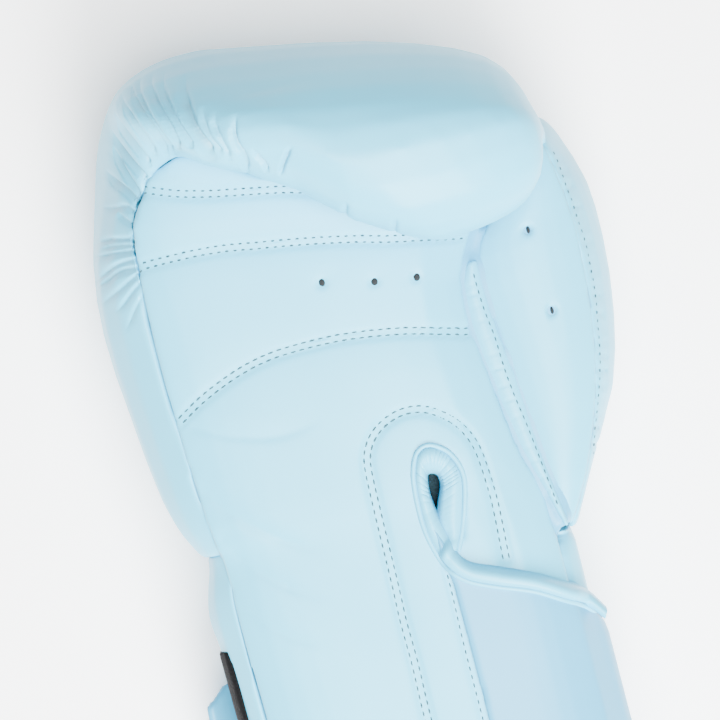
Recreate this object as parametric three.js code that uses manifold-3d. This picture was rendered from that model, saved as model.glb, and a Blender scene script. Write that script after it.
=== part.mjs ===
// Padded boxing glove for the right hand, lying on its back with the palm up.
// Millimetres. +Y points to the fist, +X to the thumb, +Z up out of the palm.
// The origin is below the middle of the glove, on the surface that it lies on.

import * as THREE from 'three';
import { mergeVertices } from 'three/addons/utils/BufferGeometryUtils.js';
import Module from 'manifold-3d';

const wasm = await Module();
wasm.setup();

// Driving sizes
const FIST_WIDTH = 160;
const HAND_LENGTH = 200;
const FIST_DEPTH = 135;
const PAD = 36;
const THUMB_PAD = 9;
const CUFF_PAD = 12;
const CUFF_LENGTH = 116;
const SEAM_EDGE = 4.5;
const PALM_LEATHER = 2.6;
const THUMB_LEATHER = 2.1;
const LINING = 1.5;
const STRAP_THICK = 3.6;
const STRAP_WIDTH = 60;
const LOOP_PILE = 2;
const VENT_RADIUS = 1.4;
const BINDING_RADIUS = 2.2;
const MOUTH_BINDING_RADIUS = 3.2;
const SLIT_WIDTH = 2.4;
const GAP = 0.3;
const STRAP_GAP = 0.5;
const STRAP_END_LIFT = 14;

// Leather, pile and lining colours, and how rough each finish is
const LEATHER = 0xd2eaf0;
const LEATHER_SHADE = 0xc0dfe8;
const PILE = 0x0c0e11;
const SLATE = 0x3d4a58;
const SATIN = 0.42;
const SOFT_SATIN = 0.45;
const WOVEN = 0.85;
const FUZZY = 0.95;

// Share of the padding that the side walls get, against the outside of the fist
const SIDE_PADDING = 0.5;
// Share of a rib over which it leaves its own oval to end on its seam
const SEAM_REACH = 0.3;
const CUFF_SQUARENESS = 2.6;
// Points across a rib, across a palm panel and round a ring of the cuff, and along the long pieces
const RIB_POINTS = 20;
const RIB_STEPS = 2;
const PANEL_POINTS = 14;
const RING_POINTS = 28;
const STRIP_POINTS = 16;
const STRAP_POINTS = 36;
const BINDING_POINTS = 18;
const CORD_SIDES = 8;
// The middle of the cuff's width in the x columns
const CUFF_MIDDLE = -0.0735;
// Where the wrist is in the y columns, and the span of those columns that the cuff takes up
const WRIST_PLACE = -0.11;
const CUFF_SPAN = 0.582;
// The strap's root on the palm, its way over the palm and its free end, as shares of their lines
const STRAP_ROOT = 0.70;
const STRAP_OVER_PALM = 0.22;
const STRAP_FREE_END = 0.17;
// Where on the palm's width the strap starts to lean over to the thumb side
const LEAN_START = 0.85;
// The shares of a rib over which the strap comes down off the pile, and over which its end lifts
const PILE_RAMP = 0.06;
const END_LIFT_REACH = 0.12;
// The last part of the strap's way, in which its lower corner rounds off by a share of its width
const END_ROUNDING = 0.05;
const END_NARROWING = 0.1;
// Where the loop pile starts and ends on the ribs of the cuff
const PILE_START = 0.045;
const PILE_END = 0.30;

// A table is a list of rows, each read by its columns' names.
function table(columns, rows) {
  return rows.map((row) => Object.fromEntries(columns.map((name, i) => [name, row[i]])));
}

// Ribs run across the glove from one seam round the outside to the other seam.
// turn is the way that a rib faces: 0 down, 90 to the front, 180 up, 270 back to the wrist.
// x columns are shares of FIST_WIDTH, y of HAND_LENGTH, z and out of FIST_DEPTH, wall of the padding.
// Below the wrist the y columns are stretched, so that the cuff has its own length.
// skew, where a table has it, moves the left end of a rib towards the fist, and droop the right end back,
// as shares of HAND_LENGTH.
const RIB_COLUMNS = ['turn', 'wrap', 'x', 'y', 'z', 'out', 'left', 'right', 'powerL', 'powerR', 'wall'];
const SEAM_COLUMNS = ['ax', 'ay', 'az', 'bx', 'by', 'bz'];

const SHELL_RIBS = table([...RIB_COLUMNS, ...SEAM_COLUMNS, 'skew', 'droop'], [
  [0, 40, 0, -0.11, 0.356, 0.311, 0.440, 0.288, 2.5, 2.5, 0.36, -0.406, -0.11, 0.593, 0.288, -0.11, 0.326, 0, 0],
  [0, 40, 0, 0, 0.370, 0.356, 0.500, 0.291, 2.5, 2.5, 0.50, -0.419, 0, 0.615, 0.291, 0, 0.311, 0, 0],
  [0, 40, 0, 0.15, 0.385, 0.391, 0.525, 0.300, 2.5, 2.5, 0.66, -0.431, 0.15, 0.622, 0.288, 0.15, 0.385, 0, 0],
  [0, 40, 0, 0.30, 0.400, 0.411, 0.546, 0.335, 2.5, 2.5, 0.78, -0.431, 0.30, 0.630, 0.275, 0.27, 0.548, 0, 0],
  [12, 36, -0.025, 0.40, 0.407, 0.419, 0.518, 0.385, 2.5, 2.4, 0.88, -0.425, 0.41, 0.637, 0.312, 0.34, 0.578, 0, 0],
  [36, 28, -0.062, 0.44, 0.422, 0.415, 0.462, 0.445, 2.8, 2.3, 0.92, -0.412, 0.46, 0.644, 0.350, 0.37, 0.593, 0, 0.025],
  [64, 18, -0.160, 0.45, 0.444, 0.415, 0.340, 0.568, 2.6, 3.3, 0.80, -0.394, 0.49, 0.652, 0.381, 0.39, 0.607, 0, 0.09],
  [90, 0, -0.200, 0.46, 0.474, 0.393, 0.282, 0.667, 2.5, 3.6, 0.74, -0.375, 0.51, 0.659, 0.406, 0.405, 0.622, 0.005, 0.1],
  [115, -6, -0.170, 0.465, 0.519, 0.385, 0.304, 0.713, 2.5, 3.3, 0.74, -0.356, 0.525, 0.667, 0.446, 0.415, 0.648, 0.02, 0.095],
  [140, -10, -0.100, 0.465, 0.563, 0.385, 0.350, 0.675, 2.5, 2.7, 0.76, -0.338, 0.54, 0.674, 0.466, 0.42, 0.670, 0.045, 0.075],
  [160, -10, -0.015, 0.465, 0.593, 0.393, 0.393, 0.602, 2.3, 2.3, 0.82, -0.312, 0.55, 0.681, 0.469, 0.425, 0.684, 0.07, 0.05],
  [180, -10, 0.075, 0.46, 0.607, 0.393, 0.440, 0.500, 2.1, 2.3, 0.76, -0.281, 0.555, 0.685, 0.460, 0.43, 0.692, 0.09, 0],
  [202, -10, 0.138, 0.455, 0.622, 0.348, 0.410, 0.415, 1.9, 2.4, 0.66, -0.231, 0.545, 0.689, 0.440, 0.43, 0.700, 0.09, 0],
  [225, -10, 0.188, 0.45, 0.652, 0.281, 0.325, 0.310, 1.6, 2.4, 0.54, -0.169, 0.51, 0.696, 0.420, 0.43, 0.704, 0.075, 0],
  [250, -8, 0.200, 0.445, 0.681, 0.207, 0.281, 0.250, 1.5, 2.4, 0.36, -0.112, 0.485, 0.704, 0.392, 0.435, 0.707, 0.05, 0],
  [275, -4, 0.212, 0.44, 0.704, 0.111, 0.281, 0.162, 1.5, 2.4, 0.19, -0.081, 0.475, 0.707, 0.362, 0.44, 0.711, 0.03, 0],
]);

const THUMB_RIBS = table([...RIB_COLUMNS, ...SEAM_COLUMNS], [
  [0, 40, 0.325, -0.21, 0.415, 0.085, 0.028, 0.018, 2.2, 2.2, 0.45, 0.303, -0.21, 0.356, 0.322, -0.215, 0.530],
  [0, 40, 0.344, -0.12, 0.411, 0.126, 0.044, 0.054, 2.2, 2.2, 0.80, 0.300, -0.12, 0.345, 0.375, -0.13, 0.563],
  [0, 40, 0.375, 0, 0.422, 0.163, 0.075, 0.120, 2.3, 2.3, 1.0, 0.305, 0, 0.325, 0.438, 0, 0.578],
  [0, 40, 0.406, 0.125, 0.430, 0.178, 0.094, 0.135, 2.3, 2.3, 1.0, 0.303, 0.125, 0.385, 0.469, 0.125, 0.585],
  [0, 40, 0.434, 0.25, 0.437, 0.178, 0.084, 0.125, 2.3, 2.3, 1.0, 0.294, 0.25, 0.530, 0.481, 0.25, 0.593],
  [0, 40, 0.453, 0.35, 0.444, 0.163, 0.072, 0.101, 2.3, 2.3, 1.0, 0.347, 0.35, 0.585, 0.475, 0.35, 0.593],
  [25, 34, 0.453, 0.405, 0.452, 0.130, 0.056, 0.069, 2.2, 2.2, 0.95, 0.391, 0.40, 0.589, 0.463, 0.415, 0.593],
  [60, 24, 0.450, 0.422, 0.459, 0.093, 0.046, 0.054, 2.1, 2.1, 0.75, 0.410, 0.415, 0.589, 0.456, 0.425, 0.593],
  [95, 14, 0.444, 0.428, 0.489, 0.074, 0.034, 0.046, 2.0, 2.0, 0.55, 0.416, 0.42, 0.591, 0.450, 0.43, 0.593],
  [130, 8, 0.438, 0.42, 0.526, 0.063, 0.026, 0.030, 2.0, 2.0, 0.40, 0.420, 0.425, 0.592, 0.444, 0.433, 0.594],
]);

const CUFF_RIBS = table([...RIB_COLUMNS, ...SEAM_COLUMNS], [
  [0, 40, -0.050, -0.119, 0.341, 0.289, 0.368, 0.325, 2.4, 2.4, 1.0, -0.408, -0.119, 0.589, 0.288, -0.119, 0.326],
  [0, 40, -0.050, -0.205, 0.348, 0.318, 0.398, 0.328, 2.4, 2.6, 1.0, -0.409, -0.205, 0.585, 0.288, -0.205, 0.341],
  [0, 40, -0.050, -0.230, 0.348, 0.318, 0.398, 0.320, 2.4, 2.8, 1.0, -0.409, -0.230, 0.585, 0.292, -0.230, 0.540],
  [0, 40, -0.050, -0.300, 0.348, 0.318, 0.384, 0.328, 2.6, 3.0, 1.0, -0.409, -0.300, 0.581, 0.290, -0.300, 0.548],
  [0, 40, -0.050, -0.500, 0.348, 0.318, 0.390, 0.330, 2.8, 3.0, 1.0, -0.400, -0.500, 0.581, 0.288, -0.500, 0.556],
  [0, 40, -0.050, -0.692, 0.348, 0.318, 0.390, 0.332, 2.8, 3.0, 1.0, -0.394, -0.692, 0.578, 0.288, -0.692, 0.556],
]);

// Lines across the palm, each from its left end to its right end, in the same shares.
const LINE_COLUMNS = ['x', 'y', 'z'];
const ARC_LINE = table(LINE_COLUMNS, [
  [-0.362, 0.525, 0.662], [-0.338, 0.537, 0.668], [-0.281, 0.552, 0.676], [-0.231, 0.542, 0.680],
  [-0.169, 0.507, 0.684], [-0.081, 0.470, 0.686], [0.125, 0.425, 0.676], [0.350, 0.420, 0.640],
]);
const FINGER_LINE = table(LINE_COLUMNS, [
  [-0.372, 0.506, 0.659], [-0.350, 0.500, 0.668], [-0.300, 0.492, 0.674], [-0.231, 0.478, 0.677],
  [-0.169, 0.468, 0.679], [-0.081, 0.452, 0.680], [0.125, 0.405, 0.670], [0.318, 0.372, 0.628],
]);
const PROXIMAL_LINE = table(LINE_COLUMNS, [
  [-0.409, 0.462, 0.650], [-0.363, 0.450, 0.662], [-0.300, 0.441, 0.669], [-0.221, 0.430, 0.672],
  [-0.135, 0.417, 0.673], [-0.036, 0.399, 0.673], [0.143, 0.363, 0.664], [0.290, 0.341, 0.618],
]);
const KNUCKLE_LINE = table(LINE_COLUMNS, [
  [-0.423, 0.385, 0.635], [-0.375, 0.390, 0.650], [-0.300, 0.390, 0.658], [-0.210, 0.382, 0.662],
  [-0.100, 0.366, 0.664], [0.010, 0.345, 0.664], [0.160, 0.320, 0.654], [0.262, 0.310, 0.606],
]);
const HEART_LINE = table(LINE_COLUMNS, [
  [-0.428, 0.130, 0.623], [-0.369, 0.150, 0.641], [-0.294, 0.178, 0.650], [-0.200, 0.194, 0.654],
  [-0.110, 0.196, 0.656], [-0.010, 0.192, 0.656], [0.130, 0.168, 0.646], [0.216, 0.150, 0.600],
]);
const VENT_LINE = table(LINE_COLUMNS, [
  [-0.430, 0.258, 0.629], [-0.372, 0.270, 0.646], [-0.297, 0.282, 0.654], [-0.205, 0.286, 0.658],
  [-0.105, 0.279, 0.660], [0.000, 0.268, 0.660], [0.140, 0.250, 0.650], [0.218, 0.242, 0.603],
]);
const HEEL_LINE = table(LINE_COLUMNS, [
  [-0.415, -0.065, 0.610], [-0.360, -0.062, 0.632], [-0.280, -0.058, 0.645], [-0.190, -0.055, 0.650],
  [-0.090, -0.052, 0.652], [0.020, -0.050, 0.650], [0.150, -0.048, 0.640], [0.243, -0.046, 0.594],
]);
const WRIST_LINE = table(LINE_COLUMNS, [
  [-0.403, -0.130, 0.588], [-0.350, -0.130, 0.620], [-0.270, -0.130, 0.634], [-0.180, -0.130, 0.640],
  [-0.080, -0.130, 0.642], [0.040, -0.130, 0.640], [0.180, -0.130, 0.628], [0.272, -0.130, 0.580],
]);
const BAND_LINE = table(LINE_COLUMNS, [
  [-0.404, -0.240, 0.585], [-0.350, -0.240, 0.618], [-0.270, -0.240, 0.632], [-0.170, -0.240, 0.637],
  [-0.070, -0.240, 0.639], [0.060, -0.240, 0.636], [0.200, -0.240, 0.622], [0.279, -0.240, 0.572],
]);
const MOUTH_LINE = table(LINE_COLUMNS, [
  [-0.390, -0.692, 0.582], [-0.340, -0.692, 0.612], [-0.260, -0.692, 0.628], [-0.160, -0.692, 0.634],
  [-0.060, -0.692, 0.636], [0.060, -0.692, 0.633], [0.195, -0.692, 0.622], [0.280, -0.692, 0.574],
]);

// The binding strip between palm and thumb: its left and right edges, wrist end first.
const STRIP_LINES = table(['leftX', 'rightX', 'y', 'z'], [
  [0.306, 0.311, -0.205, 0.580], [0.283, 0.300, -0.135, 0.584], [0.259, 0.291, -0.070, 0.587],
  [0.245, 0.286, -0.010, 0.590], [0.232, 0.279, 0.060, 0.594], [0.222, 0.270, 0.120, 0.598],
  [0.220, 0.262, 0.180, 0.600], [0.224, 0.261, 0.230, 0.600], [0.244, 0.262, 0.262, 0.600],
]);

// The thumb's inner panel, between the strip or the crotch and the outer seam.
const THUMB_PANEL_LINES = table(['leftX', 'rightX', 'leftY', 'rightY', 'leftZ', 'rightZ', 'crown'], [
  [0.314, 0.320, -0.200, -0.205, 0.556, 0.544, 0], [0.303, 0.373, -0.130, -0.130, 0.580, 0.566, 0.010],
  [0.293, 0.436, -0.050, 0, 0.586, 0.580, 0.020], [0.281, 0.467, 0.060, 0.125, 0.592, 0.587, 0.026],
  [0.265, 0.479, 0.220, 0.250, 0.596, 0.595, 0.028], [0.280, 0.479, 0.290, 0.300, 0.592, 0.595, 0.028],
  [0.349, 0.473, 0.350, 0.350, 0.592, 0.595, 0.022], [0.393, 0.461, 0.400, 0.413, 0.595, 0.596, 0.010],
  [0.414, 0.450, 0.420, 0.428, 0.597, 0.597, 0.003],
]);

const VENTS = table(['x', 'y'], [[-0.062, 0.290], [0.044, 0.270], [0.131, 0.260]]);
const THUMB_VENTS = table(['x', 'y'], [[0.381, 0.290], [0.388, 0.150]]);

// Outline of the panel that carries the slot, from its left leg over the top to its right leg.
const SLOT_PANEL_OUTLINE = table(['x', 'y'], [
  [-0.075, -0.76], [-0.072, -0.40], [-0.070, -0.20], [-0.066, -0.05], [-0.056, 0.005], [-0.030, 0.030],
  [0.005, 0.044], [0.040, 0.050], [0.075, 0.045], [0.106, 0.030], [0.135, 0.008], [0.158, -0.030],
  [0.170, -0.080], [0.174, -0.150], [0.168, -0.240], [0.168, -0.76],
]);

// Centreline of the binding round the slot, from its right foot over the top to its left foot.
const SLOT_BINDING_LINE = table(['x', 'y'], [
  [0.078, -0.180], [0.088, -0.140], [0.100, -0.104], [0.106, -0.078], [0.097, -0.052], [0.076, -0.038],
  [0.054, -0.042], [0.042, -0.064], [0.038, -0.100], [0.040, -0.140],
]);

// Upper edge of the strap, from its root over the palm to the thumb side and on round the cuff.
const STRAP_EDGE = table(['way', 'top'], [
  [0, -0.150], [0.030, -0.205], [0.075, -0.236], [0.125, -0.262], [0.170, -0.290], [0.220, -0.325],
  [0.270, -0.355], [0.330, -0.365], [0.600, -0.365], [0.850, -0.362], [0.940, -0.338], [0.975, -0.342],
  [1, -0.372],
]);

// The mouth's end of the cuff, and the middle of its rolled binding.
const MOUTH = { y: -0.692, z: 0.366, wide: 0.358, deep: 0.266 };

// Rings of the cuff's lining, from near the mouth to the palm.
const LINING_RINGS = table(['y', 'z', 'wide', 'deep'], [
  [-0.67, 0.366, 0.329, 0.229], [-0.40, 0.366, 0.318, 0.226],
  [-0.17, 0.376, 0.285, 0.216], [0.03, 0.400, 0.260, 0.192],
]);

// Curved lines through the rows of a table

function curveValue(before, from, to, after, share) {
  const slope = (to - before) / 2;
  const slopeAfter = (after - from) / 2;
  const square = share * share;
  const cube = square * share;
  return (2 * cube - 3 * square + 1) * from + (cube - 2 * square + share) * slope
    + (3 * square - 2 * cube) * to + (cube - square) * slopeAfter;
}

function rowAt(rows, place) {
  const last = rows.length - 1;
  const index = Math.min(Math.floor(place), last - 1);
  const four = [index - 1, index, index + 1, index + 2].map((i) => rows[Math.min(Math.max(i, 0), last)]);
  const row = {};
  for (const name of Object.keys(rows[0])) {
    row[name] = curveValue(...four.map((r) => r[name]), place - index);
  }
  return row;
}

function evenPlaces(rows, count) {
  return Array.from({ length: count + 1 }, (_, i) => (i / count) * (rows.length - 1));
}

// Distance along the glove for a share in a y column
function alongGlove(share) {
  const beyond = Math.min(0, share - WRIST_PLACE);
  return Math.max(share, WRIST_PLACE) * HAND_LENGTH + (beyond * CUFF_LENGTH) / CUFF_SPAN;
}

function point(row) {
  return new THREE.Vector3(row.x * FIST_WIDTH, alongGlove(row.y), (row.z ?? 0) * FIST_DEPTH);
}

// The place in a table, whose rows are in order of a column, where that column has a value.
function placeWhere(rows, column, value) {
  const falling = rows[0][column] > rows[rows.length - 1][column];
  let low = 0;
  let high = rows.length - 1;
  for (let i = 0; i < 30; i++) {
    const middle = (low + high) / 2;
    const isBefore = rowAt(rows, middle)[column] > value;
    if (isBefore === falling) {
      low = middle;
    } else {
      high = middle;
    }
  }
  return (low + high) / 2;
}

// Closed solids from grids of points

// The grid's faces, with the corners of each cell taken in order.
function gridFaces(rows, columns, offset, loop) {
  const faces = [];
  const across = loop ? columns : columns - 1;
  for (let i = 0; i < rows - 1; i++) {
    for (let j = 0; j < across; j++) {
      const next = (j + 1) % columns;
      const corners = [i * columns + j, i * columns + next, (i + 1) * columns + next, (i + 1) * columns + j];
      const [a, b, c, d] = corners.map((k) => k + offset);
      faces.push([a, b, c], [a, c, d]);
    }
  }
  return faces;
}

// Joins the edge of one skin to the same edge of the other.
function wallFaces(edge, shift) {
  const faces = [];
  for (let i = 0; i < edge.length - 1; i++) {
    const [a, b] = [edge[i], edge[i + 1]];
    faces.push([a, a + shift, b + shift], [a, b + shift, b]);
  }
  return faces;
}

function signedVolume(points, faces) {
  let total = 0;
  for (const [a, b, c] of faces) {
    total += points[a].dot(points[b].clone().cross(points[c]));
  }
  return total / 6;
}

function geometryOf(points, faces) {
  const outward = signedVolume(points, faces) > 0 ? faces : faces.map(([a, b, c]) => [a, c, b]);
  const geometry = new THREE.BufferGeometry();
  geometry.setAttribute('position', new THREE.Float32BufferAttribute(points.flatMap((p) => p.toArray()), 3));
  geometry.setIndex(outward.flat());
  return geometry;
}

// A solid between two skins, both grids of the same size. With loop set, each row is a ring.
function solidBetween(outer, inner, loop = false) {
  const rows = outer.length;
  const columns = outer[0].length;
  const points = [...outer.flat(), ...inner.flat()];
  const shift = rows * columns;
  const front = gridFaces(rows, columns, 0, loop);
  const back = gridFaces(rows, columns, shift, loop).map(([a, b, c]) => [a, c, b]);
  const walls = [];
  const firstRow = Array.from({ length: columns + (loop ? 1 : 0) }, (_, j) => j % columns);
  const lastRow = firstRow.map((j) => j + (rows - 1) * columns);
  walls.push(...wallFaces(firstRow, shift), ...wallFaces([...lastRow].reverse(), shift));
  if (!loop) {
    const firstColumn = Array.from({ length: rows }, (_, i) => i * columns);
    const lastColumn = firstColumn.map((i) => i + columns - 1);
    walls.push(...wallFaces([...firstColumn].reverse(), shift), ...wallFaces(lastColumn, shift));
  }
  return geometryOf(points, [...front, ...back, ...walls]);
}

// A round cord along a line of points, with flat ends.
function cordAlong(points, radiusAcross, radiusUp, sides) {
  const rings = points.map((p, i) => {
    const ahead = points[Math.min(i + 1, points.length - 1)];
    const behind = points[Math.max(i - 1, 0)];
    const along = ahead.clone().sub(behind).normalize();
    const side = new THREE.Vector3(0, 0, 1).cross(along).normalize();
    const up = along.clone().cross(side);
    return Array.from({ length: sides }, (_, j) => {
      const angle = (j / sides) * 2 * Math.PI;
      return p.clone().addScaledVector(side, radiusAcross * Math.cos(angle))
        .addScaledVector(up, radiusUp * Math.sin(angle));
    });
  });
  const faces = gridFaces(rings.length, sides, 0, true);
  const last = (rings.length - 1) * sides;
  for (let j = 1; j < sides - 1; j++) {
    faces.push([0, j + 1, j], [last, last + j, last + j + 1]);
  }
  return geometryOf(rings.flat(), faces);
}

// Cutting

function solidOf(geometry) {
  const bare = new THREE.BufferGeometry();
  bare.setAttribute('position', geometry.getAttribute('position').clone());
  if (geometry.index) {
    bare.setIndex(geometry.index.clone());
  }
  const merged = mergeVertices(bare);
  return new wasm.Manifold(new wasm.Mesh({
    numProp: 3,
    vertProperties: merged.getAttribute('position').array,
    triVerts: new Uint32Array(merged.index.array),
  }));
}

function geometryOfSolid(solid) {
  const mesh = solid.getMesh();
  const geometry = new THREE.BufferGeometry();
  geometry.setAttribute('position', new THREE.BufferAttribute(mesh.vertProperties, 3));
  geometry.setIndex(new THREE.BufferAttribute(mesh.triVerts, 1));
  return geometry;
}

function cutBy(geometry, cutters) {
  const solid = cutters.reduce((left, cutter) => left.subtract(solidOf(cutter)), solidOf(geometry));
  return geometryOfSolid(solid);
}

function keepInside(geometry, keeper) {
  return geometryOfSolid(solidOf(geometry).intersect(solidOf(keeper)));
}

// An upright prism over a flat outline, tall enough to pass through the palm.
function prismOver(outline) {
  const prism = new THREE.ExtrudeGeometry(new THREE.Shape(outline), { depth: FIST_DEPTH / 2, bevelEnabled: false });
  return prism.translate(0, 0, FIST_DEPTH / 3);
}

function ventCutters(vents) {
  return vents.map((vent) => {
    const drill = new THREE.CylinderGeometry(VENT_RADIUS, VENT_RADIUS, FIST_DEPTH / 3, 12);
    return drill.rotateX(Math.PI / 2).translate(vent.x * FIST_WIDTH, alongGlove(vent.y), FIST_DEPTH * 0.6);
  });
}

// Padded shells made of ribs

function powerOf(value, power) {
  return Math.sign(value) * Math.abs(value) ** (2 / power);
}

function fade(share) {
  const left = Math.max(0, 1 - share / SEAM_REACH);
  return left * left * (3 - 2 * left);
}

// A point on a rib's oval, before its ends are drawn to the seams.
function ovalPoint(rib, angle, wall) {
  const cosine = Math.cos(angle);
  const power = cosine < 0 ? rib.powerL : rib.powerR;
  const halfWidth = (cosine < 0 ? rib.left : rib.right) * FIST_WIDTH - wall * SIDE_PADDING;
  const sideways = powerOf(cosine, power);
  const outward = (rib.out * FIST_DEPTH - wall) * powerOf(Math.sin(angle), power);
  const turn = THREE.MathUtils.degToRad(rib.turn);
  const centre = point(rib);
  const slant = (rib.skew ?? 0) * Math.max(0, -sideways) - (rib.droop ?? 0) * Math.max(0, sideways);
  return new THREE.Vector3(
    centre.x + halfWidth * sideways,
    centre.y + outward * Math.sin(turn) + slant * HAND_LENGTH,
    centre.z - outward * Math.cos(turn),
  );
}

// A point of a rib at a share of its way, with its two ends drawn to the seams, moved by pullA and pullB.
function ribPoint(rib, share, wall, pullA, pullB) {
  const first = THREE.MathUtils.degToRad(180 + rib.wrap);
  const last = THREE.MathUtils.degToRad(-rib.wrap);
  const seamA = point({ x: rib.ax, y: rib.ay, z: rib.az }).add(pullA);
  const seamB = point({ x: rib.bx, y: rib.by, z: rib.bz }).add(pullB);
  const moveA = seamA.sub(ovalPoint(rib, first, wall));
  const moveB = seamB.sub(ovalPoint(rib, last, wall));
  const p = ovalPoint(rib, first + (last - first) * share, wall)
    .addScaledVector(moveA, fade(share))
    .addScaledVector(moveB, fade(1 - share));
  p.z = Math.max(p.z, 0);
  return p;
}

function ribLine(rib, wall, pullA, pullB) {
  return Array.from({ length: RIB_POINTS + 1 }, (_, i) => ribPoint(rib, i / RIB_POINTS, wall, pullA, pullB));
}

// Between the outside and the hollow. With grow set, the outside is that much larger all round.
function paddedShell(ribs, padding, pull, grow = 0) {
  const places = evenPlaces(ribs, (ribs.length - 1) * RIB_STEPS);
  const outA = new THREE.Vector3(-grow, 0, 0);
  const outB = new THREE.Vector3(grow, 0, 0);
  const inA = new THREE.Vector3(0, 0, -SEAM_EDGE);
  const outer = places.map((place) => ribLine(rowAt(ribs, place), -grow, outA, outB));
  const inner = places.map((place) => {
    const rib = rowAt(ribs, place);
    return ribLine(rib, rib.wall * padding, inA, pull);
  });
  return solidBetween(outer, inner);
}

// Leather panels laid through lines across the palm

// Rows of points through the lines. The first and last line are drawn in by half a gap,
// and with grow set, all four sides stand that much further out.
function panelRows(lines, rowsPerLine, pointsAcross, grow = 0) {
  const drawn = lines.map((line, i) => {
    const end = i === 0 ? 1 : (i === lines.length - 1 ? -1 : 0);
    return evenPlaces(line, pointsAcross).map((place, j) => {
      const p = point(rowAt(line, place));
      const side = j === 0 ? -grow : (j === pointsAcross ? grow : 0);
      return { x: p.x + side, y: p.y + end * (GAP / 2 - grow), z: p.z };
    });
  });
  return evenPlaces(lines, (lines.length - 1) * rowsPerLine).map((place) => (
    drawn[0].map((_, j) => {
      const p = rowAt(drawn.map((line) => line[j]), place);
      return new THREE.Vector3(p.x, p.y, p.z);
    })
  ));
}

function moved(rows, z) {
  return rows.map((row) => row.map((p) => p.clone().add(new THREE.Vector3(0, 0, z))));
}

function panelUnder(rows, thickness, grow = 0) {
  return solidBetween(moved(rows, grow), moved(rows, -thickness - grow));
}

function palmPanel(lines, rowsPerLine, pointsAcross, grow = 0) {
  return panelUnder(panelRows(lines, rowsPerLine, pointsAcross, grow), PALM_LEATHER, grow);
}

const CRESCENT_LINES = [FINGER_LINE, ARC_LINE];
const FINGER_LINES = [KNUCKLE_LINE, PROXIMAL_LINE, FINGER_LINE];
const VENT_LINES = [HEART_LINE, VENT_LINE, KNUCKLE_LINE];
const LOWER_LINES = [MOUTH_LINE, BAND_LINE, WRIST_LINE, HEEL_LINE, HEART_LINE];

function ventPanel() {
  return cutBy(palmPanel(VENT_LINES, 2, PANEL_POINTS), ventCutters(VENTS));
}

// The slot panel's outline, grown or shrunk by moving each point along the outline's own normal.
function slotOutline(grow) {
  const points = evenPlaces(SLOT_PANEL_OUTLINE, 2 * PANEL_POINTS).map((place) => {
    const p = point(rowAt(SLOT_PANEL_OUTLINE, place));
    return new THREE.Vector2(p.x, p.y);
  });
  return points.map((p, i) => {
    const ahead = points[Math.min(i + 1, points.length - 1)];
    const behind = points[Math.max(i - 1, 0)];
    const normal = new THREE.Vector2(behind.y - ahead.y, ahead.x - behind.x).normalize();
    return p.clone().addScaledVector(normal, grow);
  });
}

function bindingPoints(count) {
  return evenPlaces(SLOT_BINDING_LINE, count).map((place) => point(rowAt(SLOT_BINDING_LINE, place)));
}

// The opening for the slot: the outside of its binding, then a slit down to the mouth.
function slotCut() {
  const grow = BINDING_RADIUS + GAP;
  const round = bindingPoints(STRIP_POINTS);
  const sides = round.map((p, i) => {
    const ahead = round[Math.min(i + 1, round.length - 1)];
    const behind = round[Math.max(i - 1, 0)];
    const normal = new THREE.Vector2(ahead.y - behind.y, behind.x - ahead.x).normalize();
    return new THREE.Vector2(p.x, p.y).addScaledVector(normal, grow);
  });
  const middle = (round[0].x + round[round.length - 1].x) / 2;
  const end = -HAND_LENGTH;
  return [
    new THREE.Vector2(middle + SLIT_WIDTH / 2, end),
    new THREE.Vector2(middle + SLIT_WIDTH / 2, sides[0].y),
    ...sides,
    new THREE.Vector2(middle - SLIT_WIDTH / 2, sides[sides.length - 1].y),
    new THREE.Vector2(middle - SLIT_WIDTH / 2, end),
  ];
}

function lowerPalmSlab(grow = 0) {
  return palmPanel(LOWER_LINES, 3, PANEL_POINTS, grow);
}

// What the upper palm panels take up, with a gap all round, so that the pads can be cut back from them.
function upperPalmSpace() {
  return [
    palmPanel(CRESCENT_LINES, 2, PANEL_POINTS, GAP),
    palmPanel(FINGER_LINES, 2, PANEL_POINTS, GAP),
    palmPanel(VENT_LINES, 2, PANEL_POINTS, GAP),
  ];
}

function lowerPalm() {
  return cutBy(lowerPalmSlab(), [prismOver(slotOutline(GAP / 2))]);
}

function slotPanel() {
  const inset = keepInside(lowerPalmSlab(), prismOver(slotOutline(-GAP / 2)));
  return cutBy(inset, [prismOver(slotCut())]);
}

// A point on the lower palm at a share of its width and a distance along the glove
function palmPointAt(share, y) {
  const lines = LOWER_LINES.map((line) => rowAt(line, share * (line.length - 1)));
  const p = point(rowAt(lines, placeWhere(lines.map((line) => ({ y: point(line).y })), 'y', y)));
  p.y = y;
  return p;
}

function slotBinding() {
  const line = bindingPoints(BINDING_POINTS);
  const level = palmPointAt(STRAP_ROOT, line[0].y).z;
  return cordAlong(line.map((p) => new THREE.Vector3(p.x, p.y, level - GAP)), BINDING_RADIUS, BINDING_RADIUS, CORD_SIDES);
}

function thumbStrip() {
  const rows = evenPlaces(STRIP_LINES, STRIP_POINTS).map((place) => {
    const row = rowAt(STRIP_LINES, place);
    return [0, 0.25, 0.5, 0.75, 1].map((share) => {
      const x = row.leftX + (row.rightX - row.leftX) * share;
      const crown = PALM_LEATHER * 0.5 * (1 - (2 * share - 1) ** 2);
      return point({ x, y: row.y, z: row.z }).add(new THREE.Vector3(0, 0, crown));
    });
  });
  return panelUnder(rows, PALM_LEATHER);
}

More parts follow.
